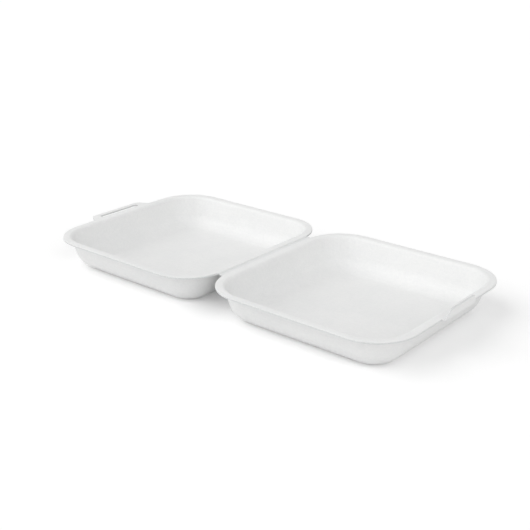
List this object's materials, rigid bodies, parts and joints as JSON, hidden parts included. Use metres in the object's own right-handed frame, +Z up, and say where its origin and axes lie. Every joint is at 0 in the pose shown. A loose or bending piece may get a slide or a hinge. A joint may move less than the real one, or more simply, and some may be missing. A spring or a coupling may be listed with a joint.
{
  "type": "clamshell container",
  "caption": "Hinged takeaway food container of white foam sheet, opened flat: shallow, nearly square tubs with flat rims, a pressed crease between them and a tongue and slot closure.",
  "frame": {"origin": "middle of the flat face that the base rests on", "axes": "+Z up, X across the hinge with the base at +X and the opened lid at -X, Y along the hinge"},
  "size_m": [0.4861, 0.234, 0.0475],
  "materials": {
    "foam": "satin white foam skin"
  },
  "bodies": {
    "base": {"base": "foam"},
    "lid": {"lid": "foam"}
  },
  "joints": [
    {"name": "lid_hinge", "type": "hinge", "parent": "base", "child": "lid", "pos_m": [-0.11819, 0, 0.03765], "axis": [0, 1, 0], "range_deg": [0, 180]}
  ]
}
